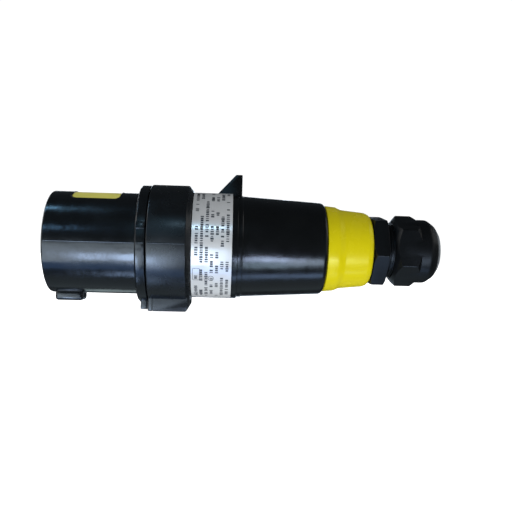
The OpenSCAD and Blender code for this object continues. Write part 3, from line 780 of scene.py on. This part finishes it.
def make_housing():
    housing = turned("rear_housing_body", [
        (SHOULDER_X, CHAMBER_R, 0.2), (SHOULDER_X, SHOULDER_R, 0.4), (SHOULDER_END, SHOULDER_R, 0.3),
        (SHOULDER_END, SEAT_R, 0.2), (SEAT_END, SEAT_R, 0.5), (SEAT_END, TAPER_WIDE_R + 0.1, 0.15),
        (SEAT_END + 2.2, TAPER_WIDE_R + 0.08, 0.1), (SEAT_END + 2.5, TAPER_WIDE_R - 0.2, 0.1),
        (TAPER_END, TAPER_NARROW_R - 0.05, 2.6), (TAPER_END, SPIGOT_WIDE_R, 0.1),
        (SPIGOT_X, SPIGOT_WIDE_R), (SPIGOT_X, SPIGOT_THIN_R), (HOUSING_END, SPIGOT_THIN_R, 0.3),
        (HOUSING_END, ENTRY_R + 0.05, 0.2), (ENTRY_X - 1, ENTRY_R + 0.05), (ENTRY_X - 6, 14.5, 1),
        (TAPER_END - 3, TAPER_NARROW_R - WALL, 1), (SEAT_END, TAPER_WIDE_R - WALL, 1),
        (SHOULDER_X + 3, CHAMBER_R - 0.2),
    ], BLACK_TAPER)
    catch = prism("lid_catch", [
        (CATCH_FROM, SEAT_R - 1.2), (CATCH_TOP, CATCH_R), (CATCH_BACK, CATCH_R),
        (CATCH_BACK, TAPER_WIDE_R - 1.5)],
        -CATCH_W / 2, CATCH_W / 2, "xz", BLACK_TAPER, bevel=0.45)
    worked(housing, catch, "UNION")
    done(smoothed(housing), "rear_grip", "black_satin", "rear_housing")


def make_plate(arc_from, arc_to):
    """A thin foil plate with round corners, wrapped on the seat between two arc lengths."""
    length = arc_to - arc_from
    bm = bmesh.new()
    strips = []
    for k in range(PLATE_ROWS + 1):
        v = length * 0.5 * (1 - math.cos(math.pi * k / PLATE_ROWS))
        edge = min(v, length - v)
        cut = 0.0
        if edge < PLATE_CORNER:
            cut = PLATE_CORNER - math.sqrt(max(0.0, PLATE_CORNER ** 2 - (PLATE_CORNER - edge) ** 2))
        clock = math.degrees((arc_from + v) / PLATE_R)
        stations = [
            PLATE_X + cut + (PLATE_LEN - 2 * cut) * u / PLATE_COLUMNS for u in range(PLATE_COLUMNS + 1)]
        strips.append([
            [bm.verts.new(on_axis(x, clock, r)) for x in stations] for r in (SEAT_R + 0.02, PLATE_R)])
    for (in_a, out_a), (in_b, out_b) in zip(strips, strips[1:]):
        for u in range(PLATE_COLUMNS):
            bm.faces.new([out_a[u], out_a[u + 1], out_b[u + 1], out_b[u]])
            bm.faces.new([in_a[u], in_b[u], in_b[u + 1], in_a[u + 1]])
        bm.faces.new([in_a[0], out_a[0], out_b[0], in_b[0]])
        bm.faces.new([in_a[-1], in_b[-1], out_b[-1], out_a[-1]])
    for inner, outer in (strips[0], strips[-1]):
        for u in range(PLATE_COLUMNS):
            bm.faces.new([inner[u], inner[u + 1], outer[u + 1], outer[u]])
    plate = closed_piece("rating_plate_foil", bm, PLATE_SILVER)
    done(smoothed(plate), "rear_grip", "plate_silver", "rating_plate")


def make_plate_print(arc_from):
    """The plate's generic print: rows of bars, an empty frame and a ring."""
    rows = grown("plate_print_rows", bars, {
        "Columns": 7, "Rows": 60, "Width": 15.4 * MM, "Arc Length": 68 * MM, "Radius": PLATE_R * MM,
        "Start": (PLATE_X + 2.4) * MM, "Start Arc": arc_from * MM + 3.5 * MM,
        "Bar": (1.7 * MM, 0.88 * MM, 0.05 * MM), "Keep": 0.92, "Word Length": 8 * MM, "Gaps": 0.49,
        "Seed": 11}, PRINT_GREY)
    done(rows, "rear_grip", "plate_silver")

    # The frame is drawn in millimetres along the plug and degrees around it.
    frame_outline = filled_in(round_rectangle((PLATE_X + 2.6, 122.0), (1.7, 7.0), (0.4, 0.8), 4), 4)
    frame_path = [on_axis(x, clock, PLATE_R) for x, clock in frame_outline]
    ring_path = []
    for k in range(RING_POINTS):
        a = math.tau * k / RING_POINTS
        ring_path.append(on_axis(PLATE_X + 9.9 + RING_R * math.cos(a),
                                 126.5 + math.degrees(RING_R * math.sin(a) / PLATE_R), PLATE_R))
    marks = joined("plate_print_marks", [
        bead("frame_mark", frame_path, 0.13, PRINT_GREY, closed=True, sides=6, flat=0.35),
        bead("ring_mark", ring_path, 0.15, PRINT_GREY, closed=True, sides=6, flat=0.35)])
    done(smoothed(marks, 60), "rear_grip", "plate_silver")


def make_sleeve():
    step = []
    for k in range(SLEEVE_STEP_POINTS):
        t = k / (SLEEVE_STEP_POINTS - 1)
        s = t * t * (3 - 2 * t)
        step.append((SLEEVE_STEP_X + SLEEVE_STEP_LEN * t,
                     SLEEVE_FRONT_R - 0.5 + (SLEEVE_REAR_R + 1 - SLEEVE_FRONT_R + 0.5) * s))
    sleeve = turned("colour_sleeve_body", [
        (TAPER_END + 0.1, SPIGOT_WIDE_R + 0.1, 0.1), (TAPER_END + 0.1, SLEEVE_FRONT_R, 0.35), *step,
        (HOUSING_END - 2.6, SLEEVE_REAR_R - 0.15, 3.0), (HOUSING_END - 0.8, SLEEVE_REAR_R - 1.0, 0.8),
        (HOUSING_END, SLEEVE_REAR_R - 1.9, 0.4), (HOUSING_END, SPIGOT_THIN_R + 0.1, 0.1),
        (SPIGOT_X + 0.1, SPIGOT_THIN_R + 0.1), (SPIGOT_X + 0.1, SPIGOT_WIDE_R + 0.1),
    ], SLEEVE_YELLOW)
    done(smoothed(sleeve, 40), "rear_grip", "sleeve_yellow", "colour_sleeve")


# ---------------------------------------------------------------- cable gland

def hexagon(name, x_from, x_to, flats, clock, material):
    across = flats / math.sqrt(3)
    angles = [math.radians(60 * k) for k in range(6)]
    corners = [(across * math.sin(a), across * math.cos(a)) for a in angles]
    return at_clock(prism(name, corners, x_from, x_to, "yz", material, bevel=0.35), clock)


def make_gland():
    nut = hexagon("gland_hexagon", HEX_X, HEX_END, BODY_FLATS, BODY_CLOCK, BLACK_GLAND)
    flat = BODY_FLATS / 2
    envelope = turned("hexagon_envelope", [
        (HEX_X - 0.01, 0), (HEX_X - 0.01, flat + 0.6, 0.3), (HEX_X + 1.5, flat + 3.2),
        (HEX_END - 1.2, flat + 3.2),
        (HEX_END + 0.01, flat + 1.1), (HEX_END + 0.01, 0)], BLACK_GLAND, sides=DOME_SIDES)
    worked(nut, envelope, "INTERSECT")
    neck = turned("gland_neck", [
        (ENTRY_X, THROAT_R, 0.3), (ENTRY_X, ENTRY_R - 0.5, 0.3), (HEX_X - 1, ENTRY_R - 0.5),
        (HEX_X - 1, ENTRY_R - 0.1), (HEX_X + 1, ENTRY_R - 0.1), (HEX_X + 1, NECK_ROOT_R),
        (NECK_END, NECK_ROOT_R, 0.4), (NECK_END, SEAL_SEAT_R, 0.3), (SEAL_X, SEAL_SEAT_R),
        (SEAL_X, THROAT_R, 0.3),
    ], BLACK_GLAND, sides=SMALL_SIDES)
    bore = turned("throat", [
        (HEX_X - 3, 0), (HEX_X - 3, ENTRY_R - 1.2), (HEX_END + 3, ENTRY_R - 1.2), (HEX_END + 3, 0)],
        BLACK_GLAND, sides=SMALL_SIDES)
    worked(nut, bore, "DIFFERENCE")
    worked(nut, neck, "UNION")
    done(smoothed(nut), "rear_grip", "black_matt", "gland_body")

    ridge = grown("neck_thread", helix, {
        "Radius": (NECK_R - 0.38) * MM, "Pitch": CAP_PITCH * MM, "Turns": 8.0,
        "Start": (HEX_END + 1.4) * MM, "Ridge": 0.36 * MM}, BLACK_GLAND)
    done(smoothed(ridge, 50), "rear_grip", "black_matt")


def make_cap():
    cap = turned("cap_dome", [
        (CAP_X, CAP_THREAD_R, 0.2), (CAP_X, CAP_THREAD_R + 0.5, 0.2), (CAP_X + 2, DOME_R - 0.5, 0.3),
        (CAP_X + 12, DOME_R), (CAP_X + 18.7, DOME_R, 3.6), (CAP_END - 2.2, DOME_R - 2.7, 4.2),
        (CAP_END, DOME_R - 6.0, 1.2), (CAP_END, THROAT_R + 0.9, 0.3), (CAP_END - 1.6, THROAT_R, 0.3),
        (WASHER_X + WASHER_LEN + 0.05, THROAT_R), (WASHER_X + WASHER_LEN + 0.05, WASHER_R + 0.1),
        (WASHER_X - 0.6, WASHER_R + 0.1), (WASHER_X - 1.1, CAP_THREAD_R),
    ], BLACK_GLAND, sides=DOME_SIDES)
    nut = hexagon("cap_hexagon", CAP_X, CAP_X + CAP_HEX_LEN, CAP_FLATS, CAP_CLOCK, BLACK_GLAND)
    corner = CAP_FLATS / math.sqrt(3) + 0.05
    envelope = turned("cap_envelope", [
        (CAP_X - 0.01, 0), (CAP_X - 0.01, CAP_THREAD_R + 0.5), (CAP_X + 3.3, corner, 0.5),
        (CAP_X + 10.9, corner, 0.5),
        (CAP_X + CAP_HEX_LEN + 0.01, DOME_R - 0.1), (CAP_X + CAP_HEX_LEN + 0.01, 0)],
        BLACK_GLAND, sides=DOME_SIDES)
    worked(nut, envelope, "INTERSECT")
    bore = turned("cap_bore", [
        (CAP_X - 3, 0), (CAP_X - 3, CAP_THREAD_R + 0.3), (CAP_X + 15, CAP_THREAD_R + 0.3), (CAP_X + 15, 0)],
        BLACK_GLAND, sides=SMALL_SIDES)
    worked(nut, bore, "DIFFERENCE")
    worked(cap, nut, "UNION")
    done(smoothed(cap, 28), "cap_nut", "black_matt", "gland_cap")


# ---------------------------------------------------------------- the design's own solids that show

DESIGN_FINISHES = (
    (SEAL_RUBBER, ("carrier_gasket", "pin_seals", "union_seal", "gland_gasket", "gland_seal")),
    (INSULATOR_GREY, ("pin_carrier", "pin_retainer")),
    (PIN_NICKEL, ("line_pin", "neutral_pin", "earth_pin")),
    (SCREW_ZINC, ("wire_clamps", "terminal_screws", "carrier_screws", "lock_screw")),
    (NYLON_WHITE, ("slip_ring", "skid_washer")),
    (MARKER_YELLOW, ("voltage_marker",)),
)


def finish_design_solids():
    """The design's own solids keep their shapes and get their real finishes."""
    for material, names in DESIGN_FINISHES:
        for name in names:
            mesh = nodes[name].data
            mesh.materials.clear()
            mesh.materials.append(material)


bpy.context.scene.view_settings.view_transform = "Standard"
camera_beside_the_plug()
studio()
white_room()
white_floor()
helix = helix_tree()
bars = print_tree()
make_shroud()
make_collar()
make_housing()
plate_arc_from, plate_arc_to = [math.radians(clock) * PLATE_R for clock in (PLATE_FROM, PLATE_TO)]
make_plate(plate_arc_from, plate_arc_to)
make_plate_print(plate_arc_from)
make_sleeve()
make_gland()
make_cap()
finish_design_solids()
